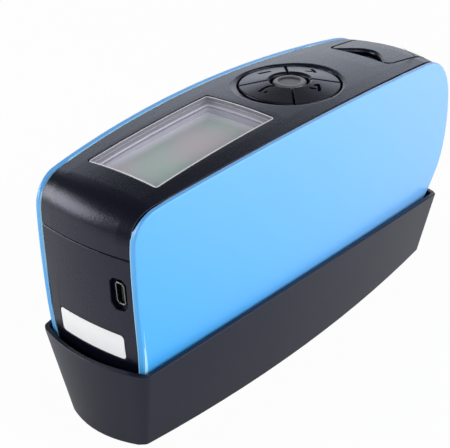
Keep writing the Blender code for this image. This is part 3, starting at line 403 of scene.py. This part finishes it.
# The blue is painted in light and shade: darker at the near end and the bottom as painted shade,
# paler towards the far end and the top as a painted sheen.  A slow cloud adds a little tone at
# random.
sheen_along = 0.64
sheen_up = 0.33
sheen_and_shade_tone = ((panel_x - panel_low.x) * sheen_along / (panel_high.x - panel_low.x)
              + (panel_z - panel_low.z) * sheen_up / (panel_high.z - panel_low.z)
              + panel_plastic.noise(60.0 * mm) * 0.06)
painted_light_blue = panel_plastic.mix(shaded_blue, sheen_blue, sheen_and_shade_tone)
panel_plastic.surface(
    Base_Color=panel_plastic.mix(painted_light_blue, highlight_blue, on_edge_highlight),
    Roughness=panel_grain * 0.05 + 0.3,
    Normal=panel_plastic.bump(panel_grain, 0.003 * mm),
)


def faired(node):
    """Finish a side panel: its skin is paired to quads and made fair, but for its folds."""
    bm = solid(node)
    quads(bm)
    crease = bm.edges.layers.float.new("crease_edge")
    highlight_layer = bm.verts.layers.float.new("rim")
    for edge in bm.edges:
        turn = edge.calc_face_angle()
        if turn > fold_turn:
            edge[crease] = fold_sharpness
        # Vertices on the sharp outer rim carry the painted highlight.
        if turn > rim_turn:
            for vert in edge.verts:
                vert[highlight_layer] = 1.0
    piece(node + "_form", bm, panel_plastic, carrier[node], slots[node], (node,), rounds=1)


for panel in ("right_panel", "left_panel"):
    faired(panel)

# Display window: clear acrylic, set flush in the shell over a grey bezel.  A painted
# highlight, a fine pale line along its border, stands for the glint on its edges.
window_acrylic = Finish("window_acrylic")
flat = window_acrylic.step(window_acrylic.facing_up(), 0.95, 0.99)
inset = window_acrylic.inset(*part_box("lcd_window"))
# Painted highlight: a pale, uneven line on the flat top along the window's border.
glint_width = 0.5 * mm
painted_glint = flat * (1.0 - window_acrylic.step(inset, glint_width * 0.8, glint_width * 1.2))
haze = window_acrylic.noise(40.0 * mm)
glint_breaks = window_acrylic.noise(1.5 * mm, 4.0)
window_acrylic.surface(
    Base_Color=window_acrylic.mix((0.46, 0.46, 0.54), (0.95, 0.95, 0.98), painted_glint),
    Roughness=window_acrylic.noise(25.0 * mm) * 0.05 + 0.12,
    Alpha=haze * 0.06 + 0.08 + painted_glint * (glint_breaks * 0.2 + 0.70) + (1.0 - flat) * 0.35,
    Specular_IOR_Level=0.15,
)
refine("lcd_window", window_acrylic)
bezel_grey = moulded("bezel_grey", (0.68, 0.68, 0.77), 0.5, 0.2 * mm, 0.004 * mm, 0.2)
refine("lcd_frame", bezel_grey, edge=0.15 * mm)

# Display gasket: a foam strip under the bezel's inner edge, pressed onto the display's
# border, which keeps dust off the glass and closes the gap to the eye.
foam_thickness = 0.8 * mm
foam_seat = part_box("lcd_module")[1].z + 0.05 * mm
frame_middle = sum(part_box("lcd_frame"), Vector()) / 2.0
gasket = solid("lcd_frame")


def inward(face):
    """Whether a face of the bezel looks into its hole."""
    to_middle = frame_middle - face.calc_center_median()
    return abs(face.normal.z) < 0.3 and face.normal.dot(to_middle) > 0.0


def downward(face):
    """Whether a face of the bezel looks down."""
    return face.normal.z < -0.7


hem = {vert for edge in gasket.edges for vert in edge.verts
       if any(map(inward, edge.link_faces)) and any(map(downward, edge.link_faces))}
rest_of_frame = [vert for vert in gasket.verts if vert not in hem]
bmesh.ops.delete(gasket, geom=rest_of_frame, context="VERTS")
skirt = bmesh.ops.extrude_edge_only(gasket, edges=gasket.edges[:])["geom"]
for vert in skirt:
    if isinstance(vert, bmesh.types.BMVert):
        vert.co.z = foam_seat
bmesh.ops.recalc_face_normals(gasket, faces=gasket.faces[:])
bmesh.ops.solidify(gasket, geom=gasket.faces[:], thickness=foam_thickness)
bmesh.ops.recalc_face_normals(gasket, faces=gasket.faces[:])
foam = moulded("foam", (0.46, 0.46, 0.54), 0.9, 0.3 * mm, 0.03 * mm, 0.1)
piece("display_gasket", gasket, foam, carrier["lcd_frame"], slots["lcd_frame"])

# Display module: a liquid crystal display that is off.  Its grey-green film is cloudy.
# Towards the bezel it passes into a near white border, painted light that lifts the shade
# the bezel casts there.
display_film = Finish("display_film")
# Painted light: the film is painted near white along its edge, where the bezel shades it.
painted_light_width = 5.0 * mm
painted_light_white = (0.94, 0.94, 1.0)
film_edge = display_film.inset(*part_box("lcd_module"))
in_film = display_film.step(film_edge, painted_light_width * 0.6, painted_light_width * 1.5)
cloud = display_film.step(display_film.noise(20.0 * mm, 1.0), 0.3, 0.7)
film = display_film.mix((0.58, 0.76, 0.67), (0.77, 0.71, 0.74), cloud)
display_film.surface(
    Base_Color=display_film.mix(painted_light_white, film, in_film),
    Roughness=display_film.noise(3.0 * mm) * 0.05 + 0.4,
    Specular_IOR_Level=0.1,
)
refine("lcd_module", display_film, edge=0.1 * mm)

# Circuit boards: green lacquered laminate with a faint weave, one under the display and
# keypad, and a small one on edge behind the USB socket.
board_lacquer = Finish("board_lacquer")
weave_per_metre = 900.0
laminate = board_lacquer.node("ShaderNodeTexCoord", output="Object")
weave = board_lacquer.node("ShaderNodeTexWave", {"wave_type": "BANDS"}, {
    "Vector": laminate, "Scale": weave_per_metre})
board_lacquer.surface(
    Base_Color=board_lacquer.mix((0.012, 0.11, 0.04), (0.02, 0.17, 0.06), weave),
    Roughness=board_lacquer.noise(2.0 * mm) * 0.1 + 0.35,
)
refine("main_board", board_lacquer)
refine("usb_board", board_lacquer)

# Keypad: four petal keys of satin black plastic, domed towards the middle, in a bevelled
# round opening.  A grey silicone mat under them springs them back.
pad_low, pad_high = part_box("centre_button")
pad_middle = (pad_low + pad_high) / 2.0
mark_width = 0.75 * mm
mark_depth = 0.1 * mm
mark_roughness = 0.7
mark_black = (0.0, 0.0, 0.001)
# Strokes of the marks on the keys, in millimetres from the keypad's middle.
key_marks = {
    "key_left": [[(0.4, 13.6), (3.3, 11.9), (3.0, 11.3), (0.2, 13.0)]],
    "key_rear": [[(11.0, 1.4), (12.0, 0.4)],
                 [(14.5, 2.0), (13.8, 0.7), (12.4, -1.1)]],
    "key_right": [[(-0.5, -9.7), (0.5, -11.0)],
                  [(2.2, -9.4), (3.7, -9.5), (2.0, -11.4), (0.5, -12.6)]],
    "key_front": [[(-12.8, 2.1), (-11.0, 2.1), (-9.2, 1.8), (-7.9, 0.7), (-6.9, -0.7)],
                  [(-12.5, -0.2), (-12.1, -0.3)]],
}


def from_stroke(finish, start, end):
    """Distance of a place on the keypad from a straight stroke, seen from above."""
    x, y = finish.axes()[:2]
    start = Vector(start) * mm + pad_middle.xy
    run = Vector(end) * mm + pad_middle.xy - start
    along = ((x - start.x) * run.x + (y - start.y) * run.y) / run.length_squared
    along = finish.node("ShaderNodeClamp", sockets={"Value": along})
    return ((x - start.x - along * run.x) ** 2.0 + (y - start.y - along * run.y) ** 2.0) ** 0.5


for key, strokes in key_marks.items():
    key_plastic = moulded(key + "_plastic", (0.005, 0.005, 0.008), 0.28, 0.4 * mm, tint=smoke)
    away = key_plastic.least(*(
        from_stroke(key_plastic, start, end)
        for stroke in strokes for start, end in zip(stroke, stroke[1:])))
    plain = key_plastic.step(away, mark_width * 0.5, mark_width)
    # A mark is a matt groove, and as black metal it has no sheen of its own.
    key_plastic.surface(
        Base_Color=key_plastic.mix(mark_black, key_plastic.feed("Base Color"), plain),
        Metallic=1.0 - plain,
        Roughness=key_plastic.feed("Roughness") + (1.0 - plain) * mark_roughness,
        Normal=key_plastic.bump(plain, mark_depth, key_plastic.feed("Normal")),
    )
    refine(key, key_plastic, edge=0.15 * mm)
key_silicone = moulded("key_silicone", (0.22, 0.22, 0.24), 0.7, 0.5 * mm, 0.01 * mm, 0.3)
refine("key_mat", key_silicone, edge=0.3 * mm)

# Centre button: grey plastic, moulded smooth, with a raised rim round a shallow dish.  The
# dish is painted darker than the rim, as painted shade in the hollow.  It stands in the
# round hole between the keys, on the same silicone mat.
rim_grey = (0.13, 0.13, 0.145)
# Painted shade: the dish inside the rim is painted darker.
dish_shade_grey = (0.035, 0.035, 0.042)
dish_radius = 4.1 * mm
dish_line = 0.5 * mm
button_plastic = moulded("button_plastic", rim_grey, 0.34, 0.2 * mm, 0.005 * mm)
button_x, button_y = button_plastic.axes()[:2]
from_middle = ((button_x - pad_middle.x) ** 2.0 + (button_y - pad_middle.y) ** 2.0) ** 0.5
on_rim = button_plastic.step(from_middle, dish_radius - dish_line, dish_radius + dish_line)
button_plastic.surface(Base_Color=button_plastic.mix(dish_shade_grey, rim_grey, on_rim))
refine("centre_button", button_plastic, edge=0.3 * mm)

# Battery cover: wraps over the far top corner and slides off towards the far end.  Its
# thumb notch shows the scoop in the shell below.
refine("battery_cover", shell_plastic, edge=0.35 * mm)

# Battery bay: a dark tray for one cell with a shrink film sleeve, a coil contact at its
# inner end and a folded contact on the cover.
inner_plastic = moulded("inner_plastic", (0.018, 0.018, 0.02), 0.6, 0.6 * mm, 0.01 * mm, 0.3)
refine("battery_tray", inner_plastic)
cell_film = Finish("cell_film")
cap_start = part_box("battery_cell")[1].x - 3.0 * mm
cap_blur = 0.2 * mm
cap = cell_film.step(cell_film.axes()[0], cap_start, cap_start + cap_blur)
cell_film.surface(
    Base_Color=cell_film.mix((0.05, 0.16, 0.36), (0.62, 0.62, 0.60), cap),
    Roughness=cell_film.noise(4.0 * mm) * 0.1 + 0.28,
    Metallic=cap,
)
refine("battery_cell", cell_film)
plated_steel = Finish("plated_steel")
brushed = plated_steel.noise(0.6 * mm, 4.0)
plated_steel.surface(
    Base_Color=plated_steel.mix((0.50, 0.50, 0.51), (0.66, 0.66, 0.66), brushed),
    Metallic=1.0,
    Roughness=brushed * 0.15 + 0.22,
)
refine("battery_spring", plated_steel, sharp=60.0)
refine("cover_contact", plated_steel)

# USB socket: a shell folded from steel sheet in a bevelled recess of the near end, with a
# dark plastic tongue inside.  It is fixed to the small board behind it.
socket_steel = Finish("socket_steel")
drawn = socket_steel.noise(0.5 * mm, 4.0)
socket_steel.surface(
    Base_Color=socket_steel.mix((0.20, 0.20, 0.21), (0.30, 0.30, 0.31), drawn),
    Metallic=1.0,
    Roughness=drawn * 0.1 + 0.2,
)
refine("usb_socket", socket_steel, edge=0.08 * mm)
refine("usb_insert", inner_plastic, edge=0.08 * mm)

# Label plate: white satin film with rounded corners, stuck into a shallow recess on the
# near end and left bare.
label_film = Finish("label_film")
label_film.surface(
    Base_Color=label_film.mix((0.91, 0.92, 0.95), (0.97, 0.98, 1.0), label_film.noise(4.0 * mm)),
    Roughness=label_film.noise(0.6 * mm) * 0.1 + 0.42,
)
refine("serial_label", label_film)

# Optics: a block with two tubes at 60 degrees, a lamp and lens on the near side, and a
# lens and sensor on the far side, screwed to the floor.
optical_glass = Finish("optical_glass")
optical_glass.surface(
    Base_Color=(0.82, 0.86, 0.90, 1.0),
    Roughness=optical_glass.noise(2.0 * mm) * 0.03 + 0.02,
    Alpha=0.45,
)
refine("optics_block", inner_plastic, edge=0.2 * mm)
refine("receiver_sensor", inner_plastic)
for glass in ("source_lens", "receiver_lens", "source_lamp"):
    refine(glass, optical_glass)
for number in range(1, 5):
    refine(f"block_screw_{number}", plated_steel)
